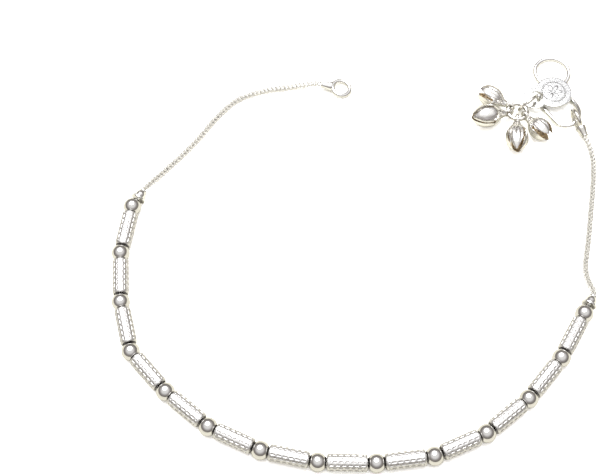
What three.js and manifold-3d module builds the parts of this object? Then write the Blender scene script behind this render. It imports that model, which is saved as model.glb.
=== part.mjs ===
// Payal anklet, unclasped and laid out on a flat surface, in millimetres with +Z up.
// The origin is the middle of the space it covers, on the surface it lies on.
//
// Along the anklet: end ring, foxtail chain, end cap, round balls alternating with
// fluted tubes on a bead wire, end cap, foxtail chain, end ring. The second end ring
// holds an S-hook, the hook holds a round tag, and a link ring in the tag's ear holds
// the ring that carries four bud-shaped bells.

import * as THREE from 'three';
import { mergeVertices } from 'three/addons/utils/BufferGeometryUtils.js';
import Module from 'manifold-3d';

const wasm = await Module();
wasm.setup();

// ---------------------------------------------------------------- driving sizes

const GAP = 0.3;                     // clear space kept between two pieces

const BALL_RADIUS = 1.88;
const BEAD_PITCH = 11.2;             // from one ball's centre to the next
const BORE_RADIUS = 0.8;             // through the balls and the tubes
const FIRST_BALL = { x: -48.2, y: 9.15 };
const TUBE_HEADINGS = [-99, -86, -76, -49, -40, -25, -12, -1, 7, 24, 39, 50, 60]; // degrees from +X

const TUBE_LENGTH = 7.7;             // over the rims of its two dished ends
const TUBE_RADIUS = 1.68;            // at the middle of the barrel
const TUBE_END_RADIUS = 1.3;
const TUBE_SHOULDER = 0.9;           // length of the tapered stretch at each end
const TUBE_DISH = 0.26;              // depth of the dish that a ball sits in
const BEAD_WIRE_RADIUS = 0.3;

const CHAIN_RADIUS = 0.62;
const CHAIN_STEP = 1.8;              // length of one straight step of a chain's tube, about

const CAP_LENGTH = 2.3;
const CAP_RADIUS = 1.15;
const CAP_FLANGE = { radius: 1.6, thickness: 0.4, fillet: 0.15 };
const CAP_TAPER_START = 0.6;         // where its straight barrel ends, as a part of the length
const CAP_TOP_RADIUS = 0.74;
const LEFT_CAP_HEADING = 61;
const RIGHT_CAP_HEADING = 60;

const END_RING = { radius: 1.95, wire: 0.5 };          // radius is to the wire's centre
const NECK = { length: 2.5, collar: 0.75, wide: 1.1, narrow: 0.72, offset: 0.1 }; // collar: its straight stretch

const HOOK_WIRE = 0.5;
const LINK_RING = { radius: 2.4, wire: 0.35 };
const BELL_RING = { radius: 2.05, wire: 0.48 };

const TAG = { radius: 4.0, thickness: 0.6, underside: 1.75, chamfer: { in: 0.15, down: 0.1 } };
const TAG_RIM = { inner: 2.4, outer: 2.7, height: 0.15, slope: 0.05 };
const EAR = { radius: 2.75, thickness: 0.45, hole: 1.4 };
const HOLE_CUT = 1;                  // the hole's cutter runs past both faces by this

const BELL = { length: 7.4, wall: 0.35, slit: 0.4, slitStart: 3.3 };
const BELL_LOOP = { radius: 0.95, wire: 0.28 };
const SLIT_CUTTER = { width: 8, past: 1 }; // wider than a bell; past its petals' tips by so much

// ---------------------------------------------------------------- finishes

const SILVER = { metalness: 1.0 };

function silver(hex, roughness) {
  return new THREE.MeshStandardMaterial({ ...SILVER, color: hex, roughness });
}

// ---------------------------------------------------------------- shared shapes

const toRadians = THREE.MathUtils.degToRad;

function alongHeading(point, headingDegrees, distance) {
  const angle = toRadians(headingDegrees);
  return {
    x: point.x + distance * Math.cos(angle),
    y: point.y + distance * Math.sin(angle),
  };
}

function lathe(profile, segments) {
  return new THREE.LatheGeometry(profile.map(([r, y]) => new THREE.Vector2(r, y)), segments);
}

function roundSection(radius, sides) {
  const points = [];
  for (let i = 0; i < sides; i++) {
    const angle = (2 * Math.PI * i) / sides;
    points.push(new THREE.Vector2(radius * Math.cos(angle), radius * Math.sin(angle)));
  }
  return new THREE.Shape(points);
}

// A round bar that follows a smooth curve through the route's points.
function wireAlong(route, radius, sides, steps) {
  const curve = new THREE.CatmullRomCurve3(route.map(([x, y, z]) => new THREE.Vector3(x, y, z)));
  return new THREE.ExtrudeGeometry(roundSection(radius, sides), {
    steps,
    extrudePath: curve,
    bevelEnabled: false,
  });
}

function toManifold(geometry) {
  const bare = geometry.clone();
  for (const name of ['normal', 'uv']) bare.deleteAttribute(name);
  const merged = mergeVertices(bare, 1e-5);
  return new wasm.Manifold(new wasm.Mesh({
    numProp: 3,
    vertProperties: new Float32Array(merged.attributes.position.array),
    triVerts: new Uint32Array(merged.index.array),
  }));
}

function toGeometry(solid) {
  const mesh = solid.getMesh();
  const geometry = new THREE.BufferGeometry();
  geometry.setAttribute('position', new THREE.BufferAttribute(mesh.vertProperties, 3));
  geometry.setIndex(new THREE.BufferAttribute(mesh.triVerts, 1));
  geometry.computeVertexNormals();
  return geometry;
}

const anklet = new THREE.Group();

function addPiece(parent, name, geometry, material) {
  const mesh = new THREE.Mesh(geometry, material);
  mesh.name = name;
  parent.add(mesh);
  return mesh;
}

// ---------------------------------------------------------------- balls and tubes

// Both are turned about +Y, which is laid along the strand's heading.

function ballGeometry() {
  const rows = 6;
  const start = Math.asin(BORE_RADIUS / BALL_RADIUS);
  const profile = [];
  for (let i = 0; i <= rows; i++) {
    const angle = start + ((Math.PI - 2 * start) * i) / rows;
    profile.push([BALL_RADIUS * Math.sin(angle), -BALL_RADIUS * Math.cos(angle)]);
  }
  profile.push(profile[0]);
  return lathe(profile, 16);
}

function tubeGeometry() {
  const half = TUBE_LENGTH / 2;
  const lip = half - TUBE_DISH;
  return lathe([
    [BORE_RADIUS, -lip],
    [TUBE_END_RADIUS, -half],
    [TUBE_RADIUS, -half + TUBE_SHOULDER],
    [TUBE_RADIUS, half - TUBE_SHOULDER],
    [TUBE_END_RADIUS, half],
    [BORE_RADIUS, lip],
    [BORE_RADIUS, -lip],
  ], 16);
}

const ballCentres = [FIRST_BALL];
for (const heading of TUBE_HEADINGS) {
  ballCentres.push(alongHeading(ballCentres.at(-1), heading, BEAD_PITCH));
}
const lastBall = ballCentres.at(-1);

const beadWireRoute = [];

function twoDigits(number) {
  return String(number).padStart(2, '0');
}

// The strand's headings into and out of each ball, the end caps' included.
const strandHeadings = [LEFT_CAP_HEADING - 180, ...TUBE_HEADINGS, RIGHT_CAP_HEADING];

ballCentres.forEach((centre, i) => {
  const before = strandHeadings[i];
  const after = strandHeadings[i + 1];
  const ball = addPiece(anklet, `ball_${twoDigits(i + 1)}`, ballGeometry(), silver(0xd9d7d2, 0.08));
  ball.position.set(centre.x, centre.y, BALL_RADIUS);
  ball.rotation.z = toRadians((before + after) / 2 - 90);
  beadWireRoute.push([centre.x, centre.y, BALL_RADIUS]);
  if (i < TUBE_HEADINGS.length) {
    const middle = alongHeading(centre, after, BEAD_PITCH / 2);
    const tube = addPiece(anklet, `tube_${twoDigits(i + 1)}`, tubeGeometry(), silver(0xe4e3e0, 0.25));
    tube.position.set(middle.x, middle.y, BALL_RADIUS);
    tube.rotation.z = toRadians(after - 90);
    beadWireRoute.push([middle.x, middle.y, BALL_RADIUS]);
  }
});

// ---------------------------------------------------------------- end caps

// A cap stands against the outer side of the first and the last ball on its wide
// flange. The bead wire ends in the blind hole in its foot, and the chain starts from
// its narrower top.

const CAP_START = 2.05;              // from the ball's centre to the cap's foot
const WIRE_HOLE = { radius: BEAD_WIRE_RADIUS + GAP, depth: 0.9 };

function capGeometry() {
  return lathe([
    [0, WIRE_HOLE.depth],
    [WIRE_HOLE.radius, WIRE_HOLE.depth],
    [WIRE_HOLE.radius, 0],
    [CAP_FLANGE.radius, 0],
    [CAP_FLANGE.radius, CAP_FLANGE.thickness],
    [CAP_RADIUS, CAP_FLANGE.thickness + CAP_FLANGE.fillet],
    [CAP_RADIUS, CAP_LENGTH * CAP_TAPER_START],
    [CAP_TOP_RADIUS, CAP_LENGTH],
    [0, CAP_LENGTH],
  ], 16);
}

function addCap(name, ballCentre, heading) {
  const foot = alongHeading(ballCentre, heading, CAP_START);
  const cap = addPiece(anklet, name, capGeometry(), silver(0xd6d4ce, 0.2));
  cap.position.set(foot.x, foot.y, BALL_RADIUS);
  cap.rotation.z = toRadians(heading - 90);
}

addCap('left_end_cap', FIRST_BALL, LEFT_CAP_HEADING);
addCap('right_end_cap', lastBall, RIGHT_CAP_HEADING);

const wireEndDistance = CAP_START + WIRE_HOLE.depth - GAP;
const wireStart = alongHeading(FIRST_BALL, LEFT_CAP_HEADING, wireEndDistance);
const wireEnd = alongHeading(lastBall, RIGHT_CAP_HEADING, wireEndDistance);
beadWireRoute.unshift([wireStart.x, wireStart.y, BALL_RADIUS]);
beadWireRoute.push([wireEnd.x, wireEnd.y, BALL_RADIUS]);
addPiece(anklet, 'bead_wire', wireAlong(beadWireRoute, BEAD_WIRE_RADIUS, 8, 54), silver(0xc9c6bf, 0.35));

// ---------------------------------------------------------------- end rings

// A plain wire ring with its neck soldered on. The ring lies about local Z, and the
// neck points along local +X.

function ringGeometry({ radius, wire }, around, across) {
  return new THREE.TorusGeometry(radius, wire, across, around);
}

function endRingGeometry() {
  const ring = toManifold(ringGeometry(END_RING, 24, 8));
  const neckGeometry = lathe([
    [0, 0],
    [NECK.wide, 0],
    [NECK.wide, NECK.collar],
    [NECK.narrow, NECK.length],
    [0, NECK.length],
  ], 12);
  neckGeometry.rotateZ(-Math.PI / 2);
  neckGeometry.translate(END_RING.radius + NECK.offset, 0, 0);
  return toGeometry(ring.add(toManifold(neckGeometry)));
}

// heading: where the neck points; lift: how far the neck rises; roll: the ring's turn
// about its neck, 0 when it lies flat.
const END_RINGS = [
  { name: 'left_end_ring', x: -3.6, y: 40.1, z: 0.86, heading: 174, lift: 10, roll: 0 },
  { name: 'right_end_ring', x: 47.7, y: 30.9, z: 2.45, heading: -68, lift: -9, roll: 100 },
];

for (const { name, x, y, z, heading, lift, roll } of END_RINGS) {
  const ring = addPiece(anklet, name, endRingGeometry(), silver(0xdedcd8, 0.15));
  ring.rotation.order = 'ZYX';
  ring.rotation.set(toRadians(roll), toRadians(-lift), toRadians(heading));
  ring.position.set(x, y, z);
}

// ---------------------------------------------------------------- chains

// Each foxtail chain is a round bar along the way it lies: down from its end cap to
// the surface, in loose bends, and up again to its end ring's neck.

const LEFT_CHAIN_ROUTE = [
  [-45.9, 13.35, 1.88],
  [-44.9, 14.75, 1.6],
  [-42.9, 17.4, 0.95],
  [-40.1, 20.7, 0.66],
  [-37.5, 23.7, 0.64],
  [-34.7, 27.3, 0.64],
  [-31.4, 32.1, 0.64],
  [-28.4, 35.6, 0.64],
  [-26.0, 37.5, 0.64],
  [-22.8, 38.9, 0.64],
  [-19.5, 39.8, 0.66],
  [-16.0, 40.3, 0.78],
  [-12.8, 40.7, 1.05],
  [-10.2, 40.9, 1.42],
  [-8.55, 40.75, 1.68],
];

const RIGHT_CHAIN_ROUTE = [
  [46.95, -11.4, 1.88],
  [47.0, -10.4, 1.8],
  [46.5, -8.7, 1.4],
  [46.2, -6.2, 0.95],
  [46.4, -3.6, 0.68],
  [47.2, 0.0, 0.64],
  [48.0, 4.0, 0.64],
  [48.9, 9.0, 0.64],
  [49.8, 13.9, 0.64],
  [50.4, 18.4, 0.68],
  [50.6, 21.6, 0.95],
  [50.25, 24.0, 1.3],
  [49.6, 25.95, 1.63],
];

function addChain(name, route) {
  const curve = new THREE.CatmullRomCurve3(route.map(([x, y, z]) => new THREE.Vector3(x, y, z)));
  const steps = Math.round(curve.getLength() / CHAIN_STEP);
  addPiece(anklet, name, wireAlong(route, CHAIN_RADIUS, 8, steps), silver(0xd8d6d1, 0.3));
}

addChain('left_chain', LEFT_CHAIN_ROUTE);
addChain('right_chain', RIGHT_CHAIN_ROUTE);

// ---------------------------------------------------------------- S-hook

// One wire: the open loop, the shank under the tag, the loop through the right end
// ring, and the wire's other end, which comes up through the tag's ear.

const HOOK_ROUTE = [
  [45.9, 41.3, 0.55],
  [46.95, 42.15, 0.55],
  [47.7, 43.8, 0.55],
  [47.65, 45.65, 0.55],
  [46.75, 47.25, 0.55],
  [45.15, 48.2, 0.55],
  [43.3, 48.3, 0.55],
  [41.65, 47.55, 0.55],
  [40.5, 46.15, 0.55],
  [40.2, 44.35, 0.55],
  [40.75, 42.6, 0.55],
  [42.0, 41.2, 0.55],
  [43.9, 39.9, 0.55],
  [45.9, 38.85, 0.55],
  [47.45, 37.3, 0.65],
  [48.5, 35.3, 1.05],
  [48.75, 33.1, 1.75],
  [48.1, 30.95, 2.2],
  [46.6, 29.7, 1.9],
  [44.9, 29.75, 1.35],
  [43.55, 31.05, 0.95],
  [42.55, 32.75, 0.65],
  [41.6, 34.3, 0.55],
  [40.95, 35.5, 0.6],
  [40.35, 36.55, 1.1],
  [40.1, 37.05, 1.9],
  [40.05, 37.2, 2.7],
];

addPiece(anklet, 's_hook', wireAlong(HOOK_ROUTE, HOOK_WIRE, 8, 84), silver(0xe2e1de, 0.15));

// ---------------------------------------------------------------- tag

const TAG_CENTRE = { x: 43.5, y: 38.15 };
const EAR_CENTRE = { x: 39.1, y: 36.6 };
const HOLE_CENTRE = { x: 39.6, y: 36.9 };

// A solid turned about +Z, standing at a place on the tag.
function turnedAt(centre, profile, segments) {
  const geometry = lathe(profile, segments);
  geometry.rotateX(Math.PI / 2);
  geometry.translate(centre.x, centre.y, TAG.underside);
  return toManifold(geometry);
}

function tagGeometry() {
  const disc = turnedAt(TAG_CENTRE, [
    [0, 0],
    [TAG.radius, 0],
    [TAG.radius, TAG.thickness - TAG.chamfer.down],
    [TAG.radius - TAG.chamfer.in, TAG.thickness],
    [TAG_RIM.outer, TAG.thickness],
    [TAG_RIM.outer - TAG_RIM.slope, TAG.thickness + TAG_RIM.height],
    [TAG_RIM.inner + TAG_RIM.slope, TAG.thickness + TAG_RIM.height],
    [TAG_RIM.inner, TAG.thickness],
    [0, TAG.thickness],
  ], 32);
  const ear = turnedAt(EAR_CENTRE, [
    [0, 0],
    [EAR.radius, 0],
    [EAR.radius, EAR.thickness],
    [0, EAR.thickness],
  ], 24);
  const hole = turnedAt(HOLE_CENTRE, [
    [0, -HOLE_CUT],
    [EAR.hole, -HOLE_CUT],
    [EAR.hole, TAG.thickness + HOLE_CUT],
    [0, TAG.thickness + HOLE_CUT],
  ], 20);
  return toGeometry(disc.add(ear).subtract(hole));
}

addPiece(anklet, 'tag', tagGeometry(), silver(0xeceae6, 0.2));

// ---------------------------------------------------------------- link ring and bell ring

// The link ring stands through the ear's hole and the bell ring, leaning over to one side.

const BELL_RING_CENTRE = { x: 35.0, y: 32.95, z: 2.2 };
const LINK_HEADING = 40.4;
const LINK_DISTANCE = 3.12;          // from the bell ring's centre to the link ring's
const LINK_HEIGHT = 2.62;            // of its centre
const LINK_LEAN = 20;                // degrees from upright
const linkCentre = alongHeading(BELL_RING_CENTRE, LINK_HEADING, LINK_DISTANCE);

const linkRing = addPiece(anklet, 'link_ring', ringGeometry(LINK_RING, 24, 8), silver(0xc4bfb4, 0.25));
linkRing.position.set(linkCentre.x, linkCentre.y, LINK_HEIGHT);
linkRing.rotation.order = 'ZYX';
linkRing.rotation.set(toRadians(90 + LINK_LEAN), 0, toRadians(LINK_HEADING));

const bellRing = addPiece(anklet, 'bell_ring', ringGeometry(BELL_RING, 24, 8), silver(0xd0ccc3, 0.25));
bellRing.position.set(BELL_RING_CENTRE.x, BELL_RING_CENTRE.y, BELL_RING_CENTRE.z);

// ---------------------------------------------------------------- bells

// A bell is a hollow bud with its loop soldered on. Two crossing slits leave four
// petals. It is built along +X from the loop's centre, with the loop upright.

const BELL_PROFILE = [               // distance from the neck's end, radius
  { at: 0.0, radius: 0.6 },
  { at: 0.9, radius: 1.0 },
  { at: 1.8, radius: 1.75 },
  { at: 2.8, radius: 2.28 },
  { at: 4.0, radius: 2.45 },
  { at: 5.2, radius: 2.3 },
  { at: 6.2, radius: 1.8 },
  { at: 6.9, radius: 1.25 },
  { at: BELL.length, radius: 0.75 },
];
const CAVITY_START = 2.0;            // from the neck's end to the hollow

function bellGeometry({ slitTurn, girth, reach, mouth }) {
  const profile = BELL_PROFILE.map(({ at, radius }) => ({ at: at * reach, radius: radius * girth }));
  const outer = profile.map(({ at, radius }) => [radius, at]);
  const inner = profile
    .filter(({ at }) => at > CAVITY_START)
    .map(({ at, radius }) => [radius - BELL.wall, at])
    .reverse();
  const shell = lathe([[0, 0], ...outer, ...inner, [0, CAVITY_START]], 16);
  shell.rotateZ(-Math.PI / 2);
  shell.translate(BELL_LOOP.radius, 0, 0);
  const loop = ringGeometry(BELL_LOOP, 14, 6);
  loop.rotateX(Math.PI / 2);
  let bell = toManifold(shell);
  const slitEnd = BELL.length * reach + SLIT_CUTTER.past;
  const wedge = new THREE.Shape([
    new THREE.Vector2(BELL.slitStart, -BELL.slit / 2),
    new THREE.Vector2(slitEnd, -mouth / 2),
    new THREE.Vector2(slitEnd, mouth / 2),
    new THREE.Vector2(BELL.slitStart, BELL.slit / 2),
  ]);
  for (const turn of [slitTurn, slitTurn + 90]) {
    const slit = new THREE.ExtrudeGeometry(wedge, { depth: SLIT_CUTTER.width, bevelEnabled: false });
    slit.translate(BELL_LOOP.radius, 0, -SLIT_CUTTER.width / 2);
    slit.rotateX(toRadians(turn));
    bell = bell.subtract(toManifold(slit));
  }
  return toGeometry(bell.add(toManifold(loop)));
}

// ringAngle: where on the bell ring the loop hangs; heading and rise: where the bell
// points from there; girth and reach: its radius and length against the profile's;
// mouth: how wide its slits are past the petals' tips.
const BELLS = [
  { name: 'bell_1', ringAngle: 138, heading: 150, rise: 5, slitTurn: -50, girth: 0.98, reach: 0.95, mouth: 2.0 },
  { name: 'bell_2', ringAngle: 190, heading: 193, rise: 7, slitTurn: 17, girth: 1.08, reach: 1.0, mouth: 0.5 },
  { name: 'bell_3', ringAngle: 262, heading: 265, rise: 6, slitTurn: -30, girth: 1.05, reach: 1.04, mouth: 0.9 },
  { name: 'bell_4', ringAngle: 324, heading: 308, rise: 5, slitTurn: 50, girth: 1.0, reach: 0.92, mouth: 2.0 },
];

for (const bell of BELLS) {
  const piece = addPiece(anklet, bell.name, bellGeometry(bell), silver(0xcfcac0, 0.15));
  const place = alongHeading(BELL_RING_CENTRE, bell.ringAngle, BELL_RING.radius);
  piece.position.set(place.x, place.y, BELL_RING_CENTRE.z);
  piece.rotation.order = 'ZYX';
  piece.rotation.set(0, toRadians(-bell.rise), toRadians(bell.heading));
}

export default anklet;
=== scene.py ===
import math

import bmesh
import bpy
from mathutils import Matrix, Vector
from mathutils.geometry import interpolate_bezier


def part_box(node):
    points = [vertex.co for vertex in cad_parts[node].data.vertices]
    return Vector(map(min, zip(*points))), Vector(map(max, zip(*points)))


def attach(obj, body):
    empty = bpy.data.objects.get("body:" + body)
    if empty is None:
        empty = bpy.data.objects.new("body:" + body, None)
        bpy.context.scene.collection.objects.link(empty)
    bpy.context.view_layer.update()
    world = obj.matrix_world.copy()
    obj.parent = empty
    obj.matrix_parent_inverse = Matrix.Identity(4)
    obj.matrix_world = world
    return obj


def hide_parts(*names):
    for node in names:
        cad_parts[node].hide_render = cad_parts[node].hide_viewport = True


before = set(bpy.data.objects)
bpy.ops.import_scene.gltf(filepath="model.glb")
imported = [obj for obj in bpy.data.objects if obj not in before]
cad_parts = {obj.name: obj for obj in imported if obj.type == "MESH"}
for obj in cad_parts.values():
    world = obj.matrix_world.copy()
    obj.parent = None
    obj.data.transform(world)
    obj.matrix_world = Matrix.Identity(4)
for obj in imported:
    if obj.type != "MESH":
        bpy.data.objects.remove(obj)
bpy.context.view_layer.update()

# ---------------------------------------------------------------- balls
# Fourteen round balls of thin sheet silver, pressed in halves, soldered shut and
# polished like mirrors. Each is bored along the strand and threaded on the bead wire.

MM = 0.001                           # pieces are shaped in millimetres, then scaled
BALL_COUNT = 14
BALL_RADIUS = 1.88
BALL_BORE = 0.8
BALL_LIP = 0.08
LEFT_CAP_HEADING = math.radians(61)
RIGHT_CAP_HEADING = math.radians(60)
CLOUDS_PER_MM = 0.45
CLOUD_SHADE = 0.94                   # a cloud's tone, as a share of the clean silver's
CLOUD_EDGE = (0.3, 0.62)             # noise levels between which a cloud fades out
POLISH_EDGE = (0.3, 0.7)             # noise levels for the two ends of the gloss
DENT_STRENGTH = 0.35


def silver(name, tone, recess_shade, gloss, marks, mark_size, mark_depth):
    """Silver with faint random clouds of a slightly darker tone, and painted shade: a darker
    colour in the recesses that a mesh marks. Its roughness wanders between the two values
    of gloss, marks to the millimetre, and it is dented by marks of a size and a depth in millimetres."""
    material = bpy.data.materials.new(name)
    material.use_nodes = True
    nodes, links = material.node_tree.nodes, material.node_tree.links
    shader = nodes["Principled BSDF"]
    shader.inputs["Metallic"].default_value = 1.0

    place = nodes.new("ShaderNodeTexCoord")
    in_mm = nodes.new("ShaderNodeMapping")
    in_mm.inputs["Scale"].default_value = (1 / MM,) * 3
    links.new(place.outputs["Object"], in_mm.inputs["Vector"])

    clouds = nodes.new("ShaderNodeTexNoise")
    clouds.inputs["Scale"].default_value = CLOUDS_PER_MM
    clouds.inputs["Detail"].default_value = 5.0
    links.new(in_mm.outputs["Vector"], clouds.inputs["Vector"])
    toned = nodes.new("ShaderNodeValToRGB")
    toned.color_ramp.elements[0].position = CLOUD_EDGE[0]
    toned.color_ramp.elements[0].color = (*[CLOUD_SHADE * c for c in tone], 1)
    toned.color_ramp.elements[1].position = CLOUD_EDGE[1]
    toned.color_ramp.elements[1].color = (*tone, 1)
    links.new(clouds.outputs["Fac"], toned.inputs["Fac"])

    # painted shade: the recess mark written into a mesh mixes in the darker recess colour where parts
    # are hidden or hollow
    recess = nodes.new("ShaderNodeAttribute")
    recess.attribute_name = "recess"
    shaded_recesses = nodes.new("ShaderNodeMix")
    shaded_recesses.data_type = "RGBA"
    shaded_recesses.inputs["B"].default_value = (*recess_shade, 1)
    links.new(recess.outputs["Fac"], shaded_recesses.inputs["Factor"])
    links.new(toned.outputs["Color"], shaded_recesses.inputs["A"])
    links.new(shaded_recesses.outputs["Result"], shader.inputs["Base Color"])

    polish = nodes.new("ShaderNodeTexNoise")
    polish.inputs["Scale"].default_value = marks
    polish.inputs["Detail"].default_value = 6.0
    links.new(in_mm.outputs["Vector"], polish.inputs["Vector"])
    spread = nodes.new("ShaderNodeMapRange")
    spread.inputs["From Min"].default_value = POLISH_EDGE[0]
    spread.inputs["From Max"].default_value = POLISH_EDGE[1]
    spread.inputs["To Min"].default_value = gloss[0]
    spread.inputs["To Max"].default_value = gloss[1]
    links.new(polish.outputs["Fac"], spread.inputs["Value"])
    links.new(spread.outputs["Result"], shader.inputs["Roughness"])

    hammer = nodes.new("ShaderNodeTexNoise")
    hammer.inputs["Scale"].default_value = 1 / mark_size
    hammer.inputs["Detail"].default_value = 2.0
    links.new(in_mm.outputs["Vector"], hammer.inputs["Vector"])
    bump = nodes.new("ShaderNodeBump")
    bump.inputs["Strength"].default_value = DENT_STRENGTH
    bump.inputs["Distance"].default_value = mark_depth * MM
    links.new(hammer.outputs["Fac"], bump.inputs["Height"])
    links.new(bump.outputs["Normal"], shader.inputs["Normal"])
    return material


def middle_of(node):
    """The middle of a CAD node's box, in millimetres."""
    low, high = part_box(node)
    return (Vector(low) + Vector(high)) / 2 / MM


def laid(place, heading):
    """Turns a piece made about +Z to lie along a heading at a place."""
    return (Matrix.Translation(place) @ Matrix.Rotation(heading, 4, "Z")
            @ Matrix.Rotation(math.pi / 2, 4, "Y"))


def heading_to(start, end):
    return math.atan2(end.y - start.y, end.x - start.x)


def keep(name, bm, material, node, crease=40):
    """Makes the finished piece, in metres, puts it under the root body and hides the CAD node it
    stands for.
    """
    bmesh.ops.scale(bm, vec=(MM,) * 3, verts=bm.verts)
    mesh = bpy.data.meshes.new(name)
    bm.to_mesh(mesh)
    bm.free()
    mesh.shade_smooth()
    mesh.set_sharp_from_angle(angle=math.radians(crease))
    mesh.materials.append(material)
    piece = bpy.data.objects.new(name, mesh)
    bpy.context.scene.collection.objects.link(piece)
    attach(piece, "root")
    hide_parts(node)
    return piece


def bored_ball():
    bm = bmesh.new()
    bmesh.ops.create_uvsphere(bm, u_segments=64, v_segments=32, radius=BALL_RADIUS)
    reach = math.sqrt(BALL_RADIUS ** 2 - BALL_BORE ** 2)
    for side in (1, -1):
        bmesh.ops.bisect_plane(
            bm, geom=bm.verts[:] + bm.edges[:] + bm.faces[:], dist=1e-5,
            plane_co=(0, 0, side * reach), plane_no=(0, 0, side), clear_outer=True)
    rims = [edge for edge in bm.edges if edge.is_boundary]
    bmesh.ops.bridge_loops(bm, edges=rims)
    bmesh.ops.bevel(bm, geom=rims, affect="EDGES", offset=BALL_LIP, segments=3,
                    profile=0.5, material=-1)
    bmesh.ops.recalc_face_normals(bm, faces=bm.faces)
    return bm


ball_silver = silver("ball_silver", tone=(0.69, 0.68, 0.66), recess_shade=(0.4, 0.37, 0.31),
                     gloss=(0.08, 0.14), marks=2.2, mark_size=1.6, mark_depth=0.012)
ball_places = [middle_of(f"ball_{i + 1:02d}") for i in range(BALL_COUNT)]
strand_headings = [
    LEFT_CAP_HEADING - math.pi,
    *[heading_to(a, b) for a, b in zip(ball_places, ball_places[1:])],
    RIGHT_CAP_HEADING,
]
for i, place in enumerate(ball_places):
    ball = bored_ball()
    bore_heading = (strand_headings[i] + strand_headings[i + 1]) / 2
    bmesh.ops.transform(ball, matrix=laid(place, bore_heading), verts=ball.verts)
    keep(f"mirror_ball_{i + 1:02d}", ball, ball_silver, f"ball_{i + 1:02d}")

# ---------------------------------------------------------------- fluted tubes
# Thirteen barrel-shaped tubes of thin silver between the balls. A cutter has gouged
# sixteen rows of short bright dashes along each one, half a dash apart from row to row.

TUBE_LENGTH = 7.86                   # over the rims of the two dished ends
TUBE_RADIUS = 1.68
TUBE_END_RADIUS = 1.42
TUBE_SHOULDER = 0.6                  # length of the narrowing at each end
TUBE_DISH = 0.3                      # depth of the dish that a ball sits in
TUBE_BORE = 0.85
FLUTES = 16
DASH_PITCH = 1.2
DASH_LENGTH = 0.84
DASH_RIM = 0.03
DASH_DEPTH = 0.13
DASHES_REACH = 3.5                   # from the tube's middle to the end of its dashes
HALF_PITCHES = 6                     # half dash pitches on each side of the middle
SHOULDER_RINGS = (0, 0.1, 0.28)      # where the shoulder bends, inwards from each end
TUBE_ROLL = math.radians(11)         # how far each tube is turned from the one before


def tube_radius_at(along):
    into_shoulder = max(0.0, abs(along) - TUBE_LENGTH / 2 + TUBE_SHOULDER) / TUBE_SHOULDER
    return TUBE_RADIUS - (TUBE_RADIUS - TUBE_END_RADIUS) * into_shoulder ** 3


def in_dash(face):
    middle = face.calc_center_median()
    column = int((math.atan2(middle.y, middle.x) % math.tau) / (math.pi / FLUTES))
    if column % 2 or abs(middle.z) > DASHES_REACH:
        return False
    shift = DASH_PITCH / 2 if column % 4 else 0.0
    from_dash = (middle.z - shift) % DASH_PITCH - DASH_PITCH / 2
    return abs(from_dash) < DASH_LENGTH / 2


def fluted_tube():
    """A tube about +Z, with its dashes pushed in and its ends dished."""
    bm = bmesh.new()
    stations = {side * (TUBE_LENGTH / 2 - inwards)
                for side in (-1, 1) for inwards in SHOULDER_RINGS}
    for step in range(-HALF_PITCHES, HALF_PITCHES + 1):
        for side in (-1, 1):
            stations.add(round(step * DASH_PITCH / 2 + side * DASH_LENGTH / 2, 3))
    stations = sorted(s for s in stations if abs(s) <= TUBE_LENGTH / 2)
    made = bmesh.ops.create_circle(bm, segments=2 * FLUTES, radius=tube_radius_at(stations[0]))
    bmesh.ops.translate(bm, verts=made["verts"], vec=(0, 0, stations[0]))
    ring = bm.edges[:]
    for before, along in zip(stations, stations[1:]):
        made = bmesh.ops.extrude_edge_only(bm, edges=ring)["geom"]
        verts = [g for g in made if isinstance(g, bmesh.types.BMVert)]
        ring = [g for g in made if isinstance(g, bmesh.types.BMEdge)]
        wider = tube_radius_at(along) / tube_radius_at(before)
        bmesh.ops.scale(bm, verts=verts, vec=(wider, wider, 1))
        bmesh.ops.translate(bm, verts=verts, vec=(0, 0, along - before))
    bmesh.ops.recalc_face_normals(bm, faces=bm.faces)
    if bm.faces[0].normal.dot(bm.faces[0].calc_center_median() * Vector((1, 1, 0))) < 0:
        bmesh.ops.reverse_faces(bm, faces=bm.faces)

    dashes = [face for face in bm.faces if in_dash(face)]
    bmesh.ops.inset_region(bm, faces=dashes, thickness=DASH_RIM, depth=-DASH_DEPTH,
                           use_even_offset=True, use_boundary=True)
    # painted shade: the gouged dashes take the darker recess colour
    recess = bm.verts.layers.float.new("recess")
    for face in dashes:
        for vert in face.verts:
            vert[recess] = 1.0

    rims = [edge for edge in bm.edges if edge.is_boundary]
    lips = []
    for side in (-1, 1):
        rim = [edge for edge in rims if edge.verts[0].co.z * side > 0]
        made = bmesh.ops.extrude_edge_only(bm, edges=rim)["geom"]
        verts = [g for g in made if isinstance(g, bmesh.types.BMVert)]
        lips += [g for g in made if isinstance(g, bmesh.types.BMEdge)]
        inwards = TUBE_BORE / TUBE_END_RADIUS
        bmesh.ops.scale(bm, verts=verts, vec=(inwards, inwards, 1))
        bmesh.ops.translate(bm, verts=verts, vec=(0, 0, -side * TUBE_DISH))
        # painted shade: the dish where a ball sits takes the darker recess colour too
        for vert in verts:
            vert[recess] = 1.0
    bmesh.ops.bridge_loops(bm, edges=lips)
    bmesh.ops.recalc_face_normals(bm, faces=bm.faces)
    return bm


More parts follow.
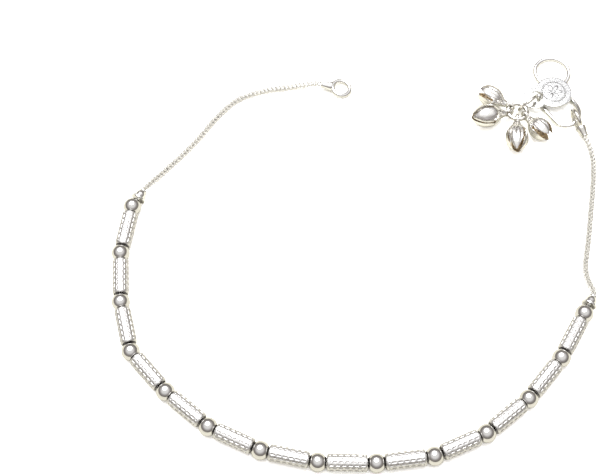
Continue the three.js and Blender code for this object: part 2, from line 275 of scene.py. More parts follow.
tube_silver = silver("tube_silver", tone=(0.69, 0.683, 0.672), recess_shade=(0.41, 0.395, 0.39),
                     gloss=(0.3, 0.44), marks=3.5, mark_size=0.35, mark_depth=0.01)
for i, (start, end) in enumerate(zip(ball_places, ball_places[1:])):
    tube = fluted_tube()
    turn = Matrix.Rotation(i * TUBE_ROLL, 4, "Z")
    bmesh.ops.transform(tube, matrix=laid((start + end) / 2, heading_to(start, end)) @ turn,
                        verts=tube.verts)
    piece = keep(f"fluted_tube_{i + 1:02d}", tube, tube_silver, f"tube_{i + 1:02d}")
    rounding = piece.modifiers.new("rounding", "SUBSURF")
    rounding.levels = rounding.render_levels = 1

# ---------------------------------------------------------------- bead wire
# A plain drawn wire runs through every ball and tube and into both end caps. Only
# glints of it show, between a ball and the dished end of a tube.

wire_silver = silver("wire_silver", tone=(0.8, 0.79, 0.75), recess_shade=(0.4, 0.37, 0.31),
                     gloss=(0.18, 0.34), marks=6.0, mark_size=0.12, mark_depth=0.012)
bead_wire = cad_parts["bead_wire"]
bead_wire.material_slots[0].material = wire_silver

# ---------------------------------------------------------------- end caps
# A cast cap stands on each end of the strand. Its wide foot flange presses on the
# last ball, and the chain is soldered into its narrow top.

CAP_START = 2.05                     # from the ball's centre to the cap's foot
CAP_PROFILE = [                      # radius, height above the foot
    (0.0, 0.12), (0.75, 0.1), (1.2, 0.0), (1.5, 0.0), (1.58, 0.06), (1.6, 0.2),
    (1.58, 0.34), (1.5, 0.4), (1.27, 0.43), (1.19, 0.5), (1.15, 0.62), (1.15, 1.2),
    (1.12, 1.34), (1.0, 1.62), (0.86, 1.98), (0.8, 2.06), (0.84, 2.12), (0.86, 2.2),
    (0.84, 2.28), (0.76, 2.32), (0.0, 2.32),
]


def turned(profile, steps=56):
    """A solid turned about +Z from pairs of radius and height."""
    bm = bmesh.new()
    verts = [bm.verts.new((radius, 0, height)) for radius, height in profile]
    edges = [bm.edges.new(pair) for pair in zip(verts, verts[1:])]
    bmesh.ops.spin(bm, geom=verts + edges, cent=(0, 0, 0), axis=(0, 0, 1),
                   angle=math.tau, steps=steps, use_merge=True, use_duplicate=False)
    bmesh.ops.remove_doubles(bm, verts=bm.verts, dist=1e-4)
    bmesh.ops.recalc_face_normals(bm, faces=bm.faces)
    return bm


fitting_silver = silver("fitting_silver", tone=(0.86, 0.856, 0.84), recess_shade=(0.6, 0.57, 0.5),
                        gloss=(0.1, 0.18), marks=2.5, mark_size=0.5, mark_depth=0.014)
for name, place, heading in (("left_end_cap", ball_places[0], LEFT_CAP_HEADING),
                             ("right_end_cap", ball_places[-1], RIGHT_CAP_HEADING)):
    cap = turned(CAP_PROFILE)
    foot = place + CAP_START * Vector((math.cos(heading), math.sin(heading), 0))
    bmesh.ops.transform(cap, matrix=laid(foot, heading), verts=cap.verts)
    keep(f"flanged_{name}", cap, fitting_silver, name)

# ---------------------------------------------------------------- foxtail chains
# Two chains of silver wire links. Each link is a soldered ring, pinched long and
# folded in two, with its ends through the fold of the next, a quarter turn round.

LINK_PITCH = 0.45
LINK_REACH = 0.42                    # from a link's middle to its folds and its ends
LINK_WIRE = 0.16
LINK_WAIST = 0.44                    # half the link's width at its middle
LINK_FLARE = 0.12                    # how much wider its ends are than its folds
LINK_SHADE = 0.8                     # how much painted shade its hidden middle takes
CHAIN_ROLL = math.radians(45)
CHAIN_OVERLAP = 0.3                  # how far a chain's ends go into their solder

LEFT_CHAIN_ROUTE = [
    (-0.0459, 0.01335, 0.00188), (-0.0449, 0.01475, 0.0016), (-0.0429, 0.0174, 0.00095),
    (-0.0401, 0.0207, 0.00066), (-0.0375, 0.0237, 0.00064), (-0.0347, 0.0273, 0.00064),
    (-0.0314, 0.0321, 0.00064), (-0.0284, 0.0356, 0.00064), (-0.026, 0.0375, 0.00064),
    (-0.0228, 0.0389, 0.00064), (-0.0195, 0.0398, 0.00066), (-0.016, 0.0403, 0.00078),
    (-0.0128, 0.0407, 0.00105), (-0.0102, 0.0409, 0.00142), (-0.00855, 0.04075, 0.00168),
]
RIGHT_CHAIN_ROUTE = [
    (0.04695, -0.0114, 0.00188), (0.047, -0.0104, 0.0018), (0.0465, -0.0087, 0.0014),
    (0.0462, -0.0062, 0.00095), (0.0464, -0.0036, 0.00068), (0.0472, 0.0, 0.00064),
    (0.048, 0.004, 0.00064), (0.0489, 0.009, 0.00064), (0.0498, 0.0139, 0.00064),
    (0.0504, 0.0184, 0.00068), (0.0506, 0.0216, 0.00095), (0.05025, 0.024, 0.0013),
    (0.0496, 0.02595, 0.00163),
]


def smooth_path(route, steps=24):
    """Points in millimetres along a smooth curve through a route in metres."""
    knots = [Vector(place) / MM for place in route]
    knots = [2 * knots[0] - knots[1], *knots, 2 * knots[-1] - knots[-2]]
    path = [knots[1]]
    for before, start, end, after in zip(knots, knots[1:], knots[2:], knots[3:]):
        lead = (start - before).length ** 0.5
        span = (end - start).length ** 0.5
        trail = (after - end).length ** 0.5
        leave = (start - before) / lead - (end - before) / (lead + span) + (end - start) / span
        arrive = (end - start) / span - (after - start) / (span + trail) + (after - end) / trail
        path += interpolate_bezier(start, start + leave * span / 3,
                                   end - arrive * span / 3, end, steps + 1)[1:]
    return path


def paces(path, pitch):
    """Places and directions, one pitch apart, along a path."""
    found, left = [], 0.0
    for start, end in zip(path, path[1:]):
        step = end - start
        while left <= step.length:
            found.append((start + step.normalized() * left, step.normalized()))
            left += pitch
        left -= step.length
    return found


def link_mesh():
    """One link along +X: a ring of wire, pinched and folded."""
    bm = bmesh.new()
    made = bmesh.ops.create_circle(bm, segments=5, radius=LINK_WIRE)
    bmesh.ops.rotate(bm, verts=made["verts"], matrix=Matrix.Rotation(math.pi / 2, 3, "X"))
    bmesh.ops.translate(bm, verts=made["verts"], vec=(1, 0, 0))
    bmesh.ops.spin(bm, geom=bm.verts[:] + bm.edges[:], cent=(0, 0, 0), axis=(0, 0, 1),
                   angle=math.tau, steps=12, use_merge=True, use_duplicate=False)
    recess = bm.verts.layers.float.new("recess")
    for vert in bm.verts:
        turn = math.atan2(vert.co.y, vert.co.x)
        out, aside = math.hypot(vert.co.x, vert.co.y) - 1, vert.co.z
        half_width = LINK_WAIST + LINK_FLARE * math.cos(2 * turn)
        spoke = Vector((0, math.cos(turn), math.sin(turn)))
        sweep = Vector((0, -math.sin(turn), math.cos(turn)))
        along = (half_width * sweep - 2 * math.sin(2 * turn)
                 * (LINK_FLARE * spoke + Vector((LINK_REACH, 0, 0)))).normalized()
        outwards = (spoke - along * spoke.dot(along)).normalized()
        vert.co = (half_width * spoke + Vector((LINK_REACH * math.cos(2 * turn), 0, 0))
                   + out * outwards + aside * along.cross(outwards))
        # painted shade: a link's middle, hidden in the folds of its neighbours, is darkened
        vert[recess] = LINK_SHADE * math.sin(turn) ** 4
    # the operator takes a folded ring's inside for its outside, so its volume decides
    bmesh.ops.recalc_face_normals(bm, faces=bm.faces)
    if bm.calc_volume(signed=True) < 0:
        bmesh.ops.reverse_faces(bm, faces=bm.faces)
    mesh = bpy.data.meshes.new("foxtail_link")
    bm.to_mesh(mesh)
    bm.free()
    return mesh


def foxtail_chain(route):
    path = smooth_path(route)
    first, last = (path[0] - path[1]).normalized(), (path[-1] - path[-2]).normalized()
    path = [path[0] + first * CHAIN_OVERLAP, *path, path[-1] + last * CHAIN_OVERLAP]
    link = link_mesh()
    bm = bmesh.new()
    for i, (place, along) in enumerate(paces(path, LINK_PITCH)):
        side = Vector((0, 0, 1)).cross(along).normalized()
        frame_of_link = Matrix((along, side, along.cross(side))).transposed().to_4x4()
        quarter = Matrix.Rotation(CHAIN_ROLL + i * math.pi / 2, 4, "X")
        known = len(bm.verts)
        bm.from_mesh(link)
        bm.verts.ensure_lookup_table()
        bmesh.ops.transform(bm, matrix=Matrix.Translation(place) @ frame_of_link @ quarter,
                            verts=bm.verts[known:])
    bpy.data.meshes.remove(link)
    return bm


chain_silver = silver("chain_silver", tone=(0.97, 0.965, 0.945), recess_shade=(0.82, 0.8, 0.76),
                      gloss=(0.36, 0.5), marks=5.0, mark_size=0.2, mark_depth=0.01)
keep("foxtail_left_chain", foxtail_chain(LEFT_CHAIN_ROUTE), chain_silver,
     "left_chain", crease=70)
keep("foxtail_right_chain", foxtail_chain(RIGHT_CHAIN_ROUTE), chain_silver,
     "right_chain", crease=70)

# ---------------------------------------------------------------- end rings
# A ring of thick round wire with a tapered socket soldered to its side. The chain's
# last links are soldered into the socket.

END_RING_RADIUS = 1.95               # to the wire's centre
END_RING_WIRE = 0.5
NECK_START = 2.05                    # from the ring's centre to the socket's wide end
NECK_PROFILE = [                     # radius, distance along the socket
    (0.0, 0.0), (0.98, 0.0), (1.08, 0.08), (1.1, 0.2), (1.1, 0.62), (1.06, 0.78),
    (0.94, 1.1), (0.8, 1.75), (0.72, 2.16), (0.76, 2.2), (0.79, 2.28), (0.79, 2.4),
    (0.74, 2.48), (0.0, 2.5),
]
# centre in metres, then heading, lift and roll in degrees
END_RINGS = {
    "left_end_ring": ((-0.0036, 0.0401, 0.00086), 174, 10, 0),
    "right_end_ring": ((0.0477, 0.0309, 0.00245), -68, -9, 100),
}


def wire_ring(radius, wire, seam=0.0, around=72, across=20):
    """A ring of round wire about +Z, open by the angle of its seam."""
    bm = bmesh.new()
    made = bmesh.ops.create_circle(bm, segments=across, radius=wire, cap_ends=seam > 0)
    bmesh.ops.rotate(bm, verts=made["verts"], matrix=Matrix.Rotation(math.pi / 2, 3, "X"))
    bmesh.ops.translate(bm, verts=made["verts"], vec=(radius, 0, 0))
    bmesh.ops.spin(bm, geom=bm.verts[:] + bm.edges[:] + bm.faces[:], cent=(0, 0, 0),
                   axis=(0, 0, 1), angle=math.tau - seam, steps=around,
                   use_merge=seam == 0, use_duplicate=False)
    if seam:
        open_end = [edge for edge in bm.edges if edge.is_boundary]
        bmesh.ops.contextual_create(bm, geom=open_end)
    bmesh.ops.recalc_face_normals(bm, faces=bm.faces)
    return bm


def lone_object(bm):
    mesh = bpy.data.meshes.new("blank")
    bm.to_mesh(mesh)
    bm.free()
    blank = bpy.data.objects.new("blank", mesh)
    bpy.context.scene.collection.objects.link(blank)
    return blank


def joined(body, added=(), cut=()):
    """One closed skin: a body with other solids soldered on, and others cut away."""
    blank = lone_object(body)
    tools = [(lone_object(bm), "UNION") for bm in added]
    tools += [(lone_object(bm), "DIFFERENCE") for bm in cut]
    for tool, operation in tools:
        step = blank.modifiers.new(operation, "BOOLEAN")
        step.object, step.operation, step.solver = tool, operation, "EXACT"
    bpy.context.view_layer.update()
    result = bmesh.new()
    result.from_mesh(blank.evaluated_get(bpy.context.evaluated_depsgraph_get()).to_mesh())
    for used in [blank, *[tool for tool, _ in tools]]:
        mesh = used.data
        bpy.data.objects.remove(used)
        bpy.data.meshes.remove(mesh)
    bmesh.ops.remove_doubles(result, verts=result.verts, dist=1e-4)
    return result


def soften(piece, width, segments=2, angle=35):
    """Rounds a piece's sharp edges by a width in millimetres."""
    edges = piece.modifiers.new("edges", "BEVEL")
    edges.width, edges.segments = width * MM, segments
    edges.limit_method, edges.angle_limit = "ANGLE", math.radians(angle)
    edges.miter_outer = "MITER_ARC"


# A darker copy of the fitting silver, used on the right end ring and the two jump rings.
darker_silver = silver("darker_silver", tone=(0.7, 0.68, 0.64), recess_shade=(0.4, 0.36, 0.3),
                     gloss=(0.09, 0.2), marks=2.0, mark_size=0.5, mark_depth=0.03)
for name, (centre, heading, lift, roll) in END_RINGS.items():
    socket = turned(NECK_PROFILE, steps=40)
    bmesh.ops.transform(socket, verts=socket.verts,
                        matrix=laid(Vector((NECK_START, 0, 0)), 0))
    ring = joined(wire_ring(END_RING_RADIUS, END_RING_WIRE), added=[socket])
    pose = (Matrix.Translation(Vector(centre) / MM)
            @ Matrix.Rotation(math.radians(heading), 4, "Z")
            @ Matrix.Rotation(math.radians(-lift), 4, "Y")
            @ Matrix.Rotation(math.radians(roll), 4, "X"))
    bmesh.ops.transform(ring, matrix=pose, verts=ring.verts)
    # the right end ring takes the darker copy of the fitting silver
    metal = fitting_silver if name == "left_end_ring" else darker_silver
    keep(f"socketed_{name}", ring, metal, name)

# ---------------------------------------------------------------- S-hook
# One thick round wire bent into an S: an open loop to clasp the other end ring, and a
# loop through the right end ring, whose end comes up through the tag's ear.

HOOK_WIRE = 0.5
HOOK_PACE = 0.12                     # between the rings of its mesh
WIRE_TIP = 0.12                      # share of its radius left at a rounded end's tip
HOOK_ROUTE = [
    (0.0459, 0.0413, 0.00055), (0.04695, 0.04215, 0.00055), (0.0477, 0.0438, 0.00055),
    (0.04765, 0.04565, 0.00055), (0.04675, 0.04725, 0.00055), (0.04515, 0.0482, 0.00055),
    (0.0433, 0.0483, 0.00055), (0.04165, 0.04755, 0.00055), (0.0405, 0.04615, 0.00055),
    (0.0402, 0.04435, 0.00055), (0.04075, 0.0426, 0.00055), (0.042, 0.0412, 0.00055),
    (0.0439, 0.0399, 0.00055), (0.0459, 0.03885, 0.00055), (0.04745, 0.0373, 0.00065),
    (0.0485, 0.0353, 0.00105), (0.04875, 0.0331, 0.00175), (0.0481, 0.03095, 0.0022),
    (0.0466, 0.0297, 0.0019), (0.0449, 0.02975, 0.00135), (0.04355, 0.03105, 0.00095),
    (0.04255, 0.03275, 0.00065), (0.0416, 0.0343, 0.00055), (0.04095, 0.0355, 0.0006),
    (0.04035, 0.03655, 0.0011), (0.0401, 0.03705, 0.0019), (0.04005, 0.0372, 0.0027),
]


def bent_wire(path, radius):
    """A round wire with rounded ends along a path in millimetres."""
    length = sum((b - a).length for a, b in zip(path, path[1:]))
    curve = bpy.data.curves.new("wire", "CURVE")
    curve.dimensions, curve.use_fill_caps = "3D", True
    curve.bevel_depth, curve.bevel_resolution = radius, 8
    spline = curve.splines.new("POLY")
    spline.points.add(len(path) - 1)
    run = 0.0
    for i, place in enumerate(path):
        run += (place - path[i - 1]).length if i else 0.0
        to_end = min(run, length - run, radius) / radius
        spline.points[i].co = (*place, 1)
        spline.points[i].radius = max(WIRE_TIP, math.sqrt(1 - (1 - to_end) ** 2))
    bent = bpy.data.objects.new("wire", curve)
    bpy.context.scene.collection.objects.link(bent)
    bpy.context.view_layer.update()
    bm = bmesh.new()
    bm.from_mesh(bent.evaluated_get(bpy.context.evaluated_depsgraph_get()).to_mesh())
    bpy.data.objects.remove(bent)
    bpy.data.curves.remove(curve)
    bmesh.ops.remove_doubles(bm, verts=bm.verts, dist=1e-4)
    bmesh.ops.recalc_face_normals(bm, faces=bm.faces)
    return bm


hook_silver = silver("hook_silver", tone=(0.96, 0.957, 0.95), recess_shade=(0.6, 0.57, 0.5),
                     gloss=(0.12, 0.2), marks=2.5, mark_size=0.5, mark_depth=0.014)
hook_path = [place for place, _ in paces(smooth_path(HOOK_ROUTE), HOOK_PACE)]
keep("bent_s_hook", bent_wire(hook_path, HOOK_WIRE), hook_silver,
     "s_hook", crease=70)

# ---------------------------------------------------------------- tag
# A round tag stamped from thick sheet, with a raised ring round its middle, a plain
# six-petalled rosette inside the ring, and an ear with a hole for the link ring.

TAG_CENTRE = Vector((43.5, 38.15, 1.75))     # the middle of its underside
EAR_CENTRE = Vector((39.1, 36.6, 1.75))
HOLE_CENTRE = Vector((39.6, 36.9, 1.75))
TAG_THICKNESS = 0.6
TAG_EDGE = 0.05                      # width of the rounding along its edges
TAG_PROFILE = [                      # radius, height above the underside
    (0.0, 0.0), (3.88, 0.0), (3.98, 0.06), (4.0, 0.16), (4.0, 0.42), (3.95, 0.54),
    (3.84, 0.59), (3.74, 0.6), (3.64, 0.6), (2.82, 0.6), (2.74, 0.6), (2.7, 0.63),
    (2.67, 0.74), (2.61, 0.8), (2.49, 0.8), (2.43, 0.74), (2.4, 0.63), (2.35, 0.6),
    (2.27, 0.6), (0.0, 0.6),
]
EAR_PROFILE = [
    (0.0, 0.0), (2.63, 0.0), (2.72, 0.05), (2.75, 0.12), (2.75, 0.32), (2.71, 0.41),
    (2.6, 0.45), (2.5, 0.45), (0.0, 0.45),
]
EAR_HOLE = 1.4
PUNCH_LOW, PUNCH_HIGH = -1.0, 2.0    # the hole's cutter, from the underside
PETALS = 6
PETAL_LENGTH, PETAL_WIDTH, PETAL_HEIGHT = 0.78, 0.36, 0.2
PETAL_OUT = 1.18                     # from the tag's centre to a petal's
ROSETTE_EYE = 0.3

tag = turned(TAG_PROFILE, steps=96)
bmesh.ops.translate(tag, verts=tag.verts, vec=TAG_CENTRE)
ear = turned(EAR_PROFILE, steps=72)
bmesh.ops.translate(ear, verts=ear.verts, vec=EAR_CENTRE)
hole = turned([(0.0, PUNCH_LOW), (EAR_HOLE, PUNCH_LOW),
               (EAR_HOLE, PUNCH_HIGH), (0.0, PUNCH_HIGH)], steps=64)
bmesh.ops.translate(hole, verts=hole.verts, vec=HOLE_CENTRE)
field = TAG_CENTRE + Vector((0, 0, TAG_THICKNESS))
petals = []
for i in range(PETALS + 1):
    petal = bmesh.new()
    bmesh.ops.create_uvsphere(petal, u_segments=24, v_segments=14, radius=1)
    if i < PETALS:
        size = (PETAL_LENGTH, PETAL_WIDTH, PETAL_HEIGHT)
    else:
        size = (ROSETTE_EYE, ROSETTE_EYE, PETAL_HEIGHT)
    bmesh.ops.scale(petal, verts=petal.verts, vec=size)
    if i < PETALS:
        bmesh.ops.translate(petal, verts=petal.verts, vec=(PETAL_OUT, 0, 0))
        bmesh.ops.rotate(petal, verts=petal.verts,
                         matrix=Matrix.Rotation(i * math.tau / PETALS, 3, "Z"))
    bmesh.ops.translate(petal, verts=petal.verts, vec=field)
    petals.append(petal)

tag_silver = silver("tag_silver", tone=(0.69, 0.694, 0.698), recess_shade=(0.5, 0.47, 0.4),
                    gloss=(0.1, 0.2), marks=3.0, mark_size=0.3, mark_depth=0.012)
tag_piece = keep("stamped_tag", joined(tag, added=[ear, *petals], cut=[hole]), tag_silver,
                 "tag", crease=30)
soften(tag_piece, TAG_EDGE)

# ---------------------------------------------------------------- link ring and bell ring
# Two jump rings of round wire, each closed with a butt joint. The link ring leans
# in the tag's ear, and the bell ring lies in it and carries the four bells.

LINK_RING_RADIUS, LINK_RING_WIRE = 2.4, 0.35
BELL_RING_RADIUS, BELL_RING_WIRE = 2.05, 0.48
BELL_RING_CENTRE = Vector((35.0, 32.95, 2.2))
LINK_HEADING = math.radians(40.4)
LINK_DISTANCE = 3.12                 # between the two rings' centres
LINK_HEIGHT = 2.62
LINK_LEAN = math.radians(20)         # from upright
JOINT = math.radians(1.6)            # angle that a ring's butt joint leaves open
LINK_JOINT_TURN = math.radians(200)  # where the joint lies round each ring
BELL_JOINT_TURN = math.radians(95)

link_ring = wire_ring(LINK_RING_RADIUS, LINK_RING_WIRE, seam=JOINT)
link_centre = Vector((BELL_RING_CENTRE.x + LINK_DISTANCE * math.cos(LINK_HEADING),
                      BELL_RING_CENTRE.y + LINK_DISTANCE * math.sin(LINK_HEADING),
                      LINK_HEIGHT))
leaning = (Matrix.Rotation(math.pi / 2 + LINK_LEAN, 4, "X")
           @ Matrix.Rotation(LINK_JOINT_TURN, 4, "Z"))
bmesh.ops.transform(link_ring, verts=link_ring.verts,
                    matrix=Matrix.Translation(link_centre)
                    @ Matrix.Rotation(LINK_HEADING, 4, "Z") @ leaning)
keep("jump_link_ring", link_ring, darker_silver, "link_ring")

bell_ring = wire_ring(BELL_RING_RADIUS, BELL_RING_WIRE, seam=JOINT)
bmesh.ops.transform(bell_ring, verts=bell_ring.verts,
                    matrix=Matrix.Translation(BELL_RING_CENTRE)
                    @ Matrix.Rotation(BELL_JOINT_TURN, 4, "Z"))
keep("jump_bell_ring", bell_ring, darker_silver, "bell_ring")

# ---------------------------------------------------------------- bells
# Four bud-shaped bells of pressed sheet with a wire loop soldered on each neck. Two
# crossing slits open the bud into four petals, and shallow flutes run down it.

LOOP_RADIUS, LOOP_WIRE = 0.95, 0.31
BELL_LENGTH = 7.4
BELL_WALL = 0.3
SLIT_WIDTH = 0.3
SLIT_START = 3.1                     # from the neck's end
SLIT_EYE = 0.36                      # radius of the drilled hole where a slit starts
BELL_PROFILE = [                     # distance from the neck's end, radius
    (0.0, 0.74), (0.9, 1.0), (1.8, 1.75), (2.8, 2.26), (4.0, 2.39), (5.2, 2.27),
    (6.2, 1.8), (6.9, 1.25), (7.4, 0.75),
]
BELL_STEPS = 74                      # round the bud: at 72, bell_1's cut skin is left open
BELL_EDGE = 0.04                     # width of the rounding along its edges
CAVITY_START = 2.0
BELL_FLUTES = 12
PETAL_TIP = 0.3                      # how far a petal's tip stands out past its corners
CUTTER_SPAN = 8                      # right through the widest bud
CUTTER_PAST_TIP = 1
DARK_FROM = 0.6                      # share of the wall's thickness that the painted shade leaves bright
DARK_MARGIN = 0.1                    # how far below the cavity's floor the painted shade starts
# ring angle, heading, rise, slit turn in degrees; girth and reach; depth of the flutes;
# how wide the slits are at the petals' tips
BELLS = {
    "bell_1": (138, 150, 5, -50, 0.98, 0.95, 0.19, 2.0),
    "bell_2": (190, 193, 7, 17, 1.08, 1.0, 0.05, 0.5),
    "bell_3": (262, 265, 6, -30, 1.05, 1.04, 0.19, 0.9),
    "bell_4": (324, 308, 5, 50, 1.0, 0.92, 0.17, 2.0),
}


def bell_skin(girth, reach, flute_depth, slit_turn):
    """The bell's bud about +Z from its neck's end, hollow and open at the far end."""
    smooth = smooth_path([(at * reach * MM, radius * girth * MM, 0)
                          for at, radius in BELL_PROFILE], steps=4)
    outer = [(point.y, point.x) for point in smooth]
    inner = [(radius - BELL_WALL, at) for radius, at in reversed(outer)
             if at > CAVITY_START * reach]
    bm = turned([(0.0, 0.0), *outer, *inner, (0.0, CAVITY_START * reach)],
                steps=BELL_STEPS)
    length = BELL_LENGTH * reach
    for vert in bm.verts:
        turn = math.atan2(vert.co.y, vert.co.x)
        along = min(1.0, max(0.0, vert.co.z / length))
        swell = math.sin(math.pi * along)
        radius = math.hypot(vert.co.x, vert.co.y)
        if radius > 0.01:
            dent = flute_depth * swell * (1 - abs(math.cos(turn * BELL_FLUTES / 2)))
            vert.co.x *= (radius - dent) / radius
            vert.co.y *= (radius - dent) / radius
        petal_turn = (turn - slit_turn) % (math.pi / 2) - math.pi / 4
        vert.co.z -= PETAL_TIP * along ** 6 * (abs(petal_turn) / (math.pi / 4)) ** 2
    return bm


def darken_inside(bm, girth, reach):
    """Marks a bud's inner walls as recesses, for painted shade, once its slits are cut."""
    recess = bm.verts.layers.float.get("recess") or bm.verts.layers.float.new("recess")
    for vert in bm.verts:
        radius = 0.0
        for (at, here), (after, there) in zip(BELL_PROFILE, BELL_PROFILE[1:]):
            if at * reach <= vert.co.z <= after * reach:
                radius = here + (there - here) * (vert.co.z / reach - at) / (after - at)
        inner = math.hypot(vert.co.x, vert.co.y) < radius * girth - DARK_FROM * BELL_WALL
        vert[recess] = 1.0 if inner and vert.co.z > CAVITY_START * reach - DARK_MARGIN else 0.0


def slit_cutter(turn, reach, mouth):
    """A wedge that cuts a slit on both sides of the bud, wider towards its mouth."""
    bm = bmesh.new()
    bmesh.ops.create_cube(bm, size=1)
    length = BELL_LENGTH * reach - SLIT_START + CUTTER_PAST_TIP
    bmesh.ops.translate(bm, verts=bm.verts, vec=(0, 0, 0.5))
    bmesh.ops.scale(bm, verts=bm.verts, vec=(CUTTER_SPAN, SLIT_WIDTH, length))
    far_end = [vert for vert in bm.verts if vert.co.z > length / 2]
    bmesh.ops.scale(bm, verts=far_end, vec=(1, mouth / SLIT_WIDTH, 1))
    bmesh.ops.translate(bm, verts=bm.verts, vec=(0, 0, SLIT_START))
    bmesh.ops.rotate(bm, verts=bm.verts, matrix=Matrix.Rotation(turn, 3, "Z"))
    return bm


def eye_cutter(turn):
    bm = bmesh.new()
    bmesh.ops.create_cone(bm, cap_ends=True, segments=20, radius1=SLIT_EYE,
                          radius2=SLIT_EYE, depth=CUTTER_SPAN)
    bmesh.ops.rotate(bm, verts=bm.verts, matrix=Matrix.Rotation(math.pi / 2, 3, "Y"))
    bmesh.ops.translate(bm, verts=bm.verts, vec=(0, 0, SLIT_START))
    bmesh.ops.rotate(bm, verts=bm.verts, matrix=Matrix.Rotation(turn, 3, "Z"))
    return bm


# the bell silver's warm recess colour is painted shade inside the buds and their slits
bell_silver = silver("bell_silver", tone=(0.87, 0.855, 0.825), recess_shade=(0.78, 0.7, 0.58),
                     gloss=(0.15, 0.3), marks=2.4, mark_size=0.55, mark_depth=0.08)
for name, (ring_angle, heading, rise, slit_turn, girth, reach, flutes, mouth) in BELLS.items():
    slit_turn = math.radians(slit_turn)
    bud = bell_skin(girth, reach, flutes, slit_turn)
    cutters = [slit_cutter(slit_turn, reach, mouth),
               slit_cutter(slit_turn + math.pi / 2, reach, mouth),
               eye_cutter(slit_turn), eye_cutter(slit_turn + math.pi / 2)]
    loop = wire_ring(LOOP_RADIUS, LOOP_WIRE, around=40, across=14)
    bmesh.ops.rotate(loop, verts=loop.verts, matrix=Matrix.Rotation(math.pi / 2, 3, "X"))
    bmesh.ops.translate(loop, verts=loop.verts, vec=(0, 0, -LOOP_RADIUS))
    bell = joined(bud, added=[loop], cut=cutters)
    darken_inside(bell, girth, reach)
    ring_turn = math.radians(ring_angle)
    hang = BELL_RING_CENTRE + BELL_RING_RADIUS * Vector((math.cos(ring_turn), math.sin(ring_turn), 0))
    pose = (Matrix.Translation(hang) @ Matrix.Rotation(math.radians(heading), 4, "Z")
            @ Matrix.Rotation(math.radians(-rise), 4, "Y")
            @ Matrix.Translation((LOOP_RADIUS, 0, 0))
            @ Matrix.Rotation(math.pi / 2, 4, "Y") @ Matrix.Rotation(math.pi, 4, "Z"))
    bmesh.ops.transform(bell, matrix=pose, verts=bell.verts)
    piece = keep(f"bud_{name}", bell, bell_silver, name, crease=35)
    soften(piece, BELL_EDGE)

# ---------------------------------------------------------------- floor and light
# The anklet lies on a plain sheet, bright white to look at and cream where the silver
# mirrors it. A broad soft light hangs over the far side of a grey room, whose walls are
# dark low down.

FLOOR_SIZE = 1.0                     # metres from its middle to its edge
SHEET_SEEN = (1.9, 1.9, 1.89, 1)
SHEET_MIRRORED = (0.7, 0.68, 0.59, 1)
floor_bm = bmesh.new()
bmesh.ops.create_grid(floor_bm, x_segments=2, y_segments=2, size=FLOOR_SIZE)
floor_mesh = bpy.data.meshes.new("floor")
floor_bm.to_mesh(floor_mesh)
floor_bm.free()
floor = bpy.data.objects.new("floor", floor_mesh)
bpy.context.scene.collection.objects.link(floor)
paper = bpy.data.materials.new("white_paper")
paper.use_nodes = True
paper_nodes, paper_links = paper.node_tree.nodes, paper.node_tree.links
sheet = paper_nodes.new("ShaderNodeBsdfDiffuse")
ray = paper_nodes.new("ShaderNodeLightPath")
sheet_tone = paper_nodes.new("ShaderNodeMix")
sheet_tone.data_type = "RGBA"
sheet_tone.inputs["A"].default_value = SHEET_MIRRORED
sheet_tone.inputs["B"].default_value = SHEET_SEEN
paper_links.new(ray.outputs["Is Camera Ray"], sheet_tone.inputs["Factor"])
paper_links.new(sheet_tone.outputs["Result"], sheet.inputs["Color"])
paper_links.new(sheet.outputs["BSDF"], paper_nodes["Material Output"].inputs["Surface"])
floor_mesh.materials.append(paper)

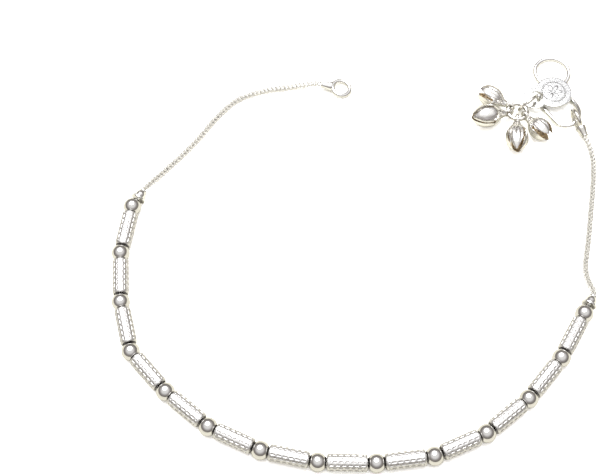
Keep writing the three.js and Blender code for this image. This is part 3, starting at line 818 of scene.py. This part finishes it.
ROOM_TONES = [                       # sine of the height above the horizon, colour
    (0.0, (0.5, 0.47, 0.4)), (0.06, (0.22, 0.205, 0.18)), (0.38, (0.27, 0.25, 0.24)),
    (0.55, (0.42, 0.4, 0.4)), (0.68, (0.66, 0.645, 0.65)), (0.8, (0.84, 0.835, 0.835)),
    (1.0, (0.9, 0.9, 0.9)),
]
DARK_SIDE = (-0.04, -0.04, 1.0)      # the dark band stands highest on the far right side
world = bpy.data.worlds.new("room")
bpy.context.scene.world = world
world.use_nodes = True
sky, wires = world.node_tree.nodes, world.node_tree.links
direction = sky.new("ShaderNodeTexCoord")
height = sky.new("ShaderNodeVectorMath")
height.operation = "DOT_PRODUCT"
height.inputs[1].default_value = DARK_SIDE
room = sky.new("ShaderNodeValToRGB")
stops = room.color_ramp.elements
while len(stops) < len(ROOM_TONES):
    stops.new(0.5)
for stop, (at, tone) in zip(stops, ROOM_TONES):
    stop.position, stop.color = at, (*tone, 1)
wires.new(direction.outputs["Generated"], height.inputs[0])
wires.new(height.outputs["Value"], room.inputs["Fac"])
wires.new(room.outputs["Color"], sky["Background"].inputs["Color"])

SOFTBOX_PLACE = (-0.09, 0.26, 0.85)
SOFTBOX_WIDTH, SOFTBOX_WATTS = 0.8, 8.5
lamp = bpy.data.lights.new("softbox", "AREA")
lamp.shape, lamp.size, lamp.energy = "DISK", SOFTBOX_WIDTH, SOFTBOX_WATTS
softbox = bpy.data.objects.new("softbox", lamp)
softbox.location = SOFTBOX_PLACE
softbox.rotation_euler = Vector(SOFTBOX_PLACE).to_track_quat("Z", "Y").to_euler()
bpy.context.scene.collection.objects.link(softbox)

# ---------------------------------------------------------------- camera
# The camera stands before the bead arc, a little left of its middle, and looks steeply
# down on it. The plain Standard view is lifted by a quarter of a stop.

CAMERA_PLACE = (-0.0128, -0.1205, 0.232)
CAMERA_TILT = math.radians(28)       # from straight down
CAMERA_LENS, CAMERA_SENSOR = 75, 36  # millimetres
CAMERA_NEAR = 0.001
EXPOSURE = 0.25                      # stops

camera_lens = bpy.data.cameras.new("camera")
camera_lens.lens, camera_lens.sensor_width = CAMERA_LENS, CAMERA_SENSOR
camera_lens.clip_start = CAMERA_NEAR
camera = bpy.data.objects.new("camera", camera_lens)
camera.location = CAMERA_PLACE
camera.rotation_euler = (CAMERA_TILT, 0, 0)
bpy.context.scene.collection.objects.link(camera)
bpy.context.scene.camera = camera
bpy.context.scene.view_settings.view_transform = "Standard"
bpy.context.scene.view_settings.exposure = EXPOSURE

# ---------------------------------------------------------------- last update
# The view layer is brought up to date once every piece is made.

bpy.context.view_layer.update()
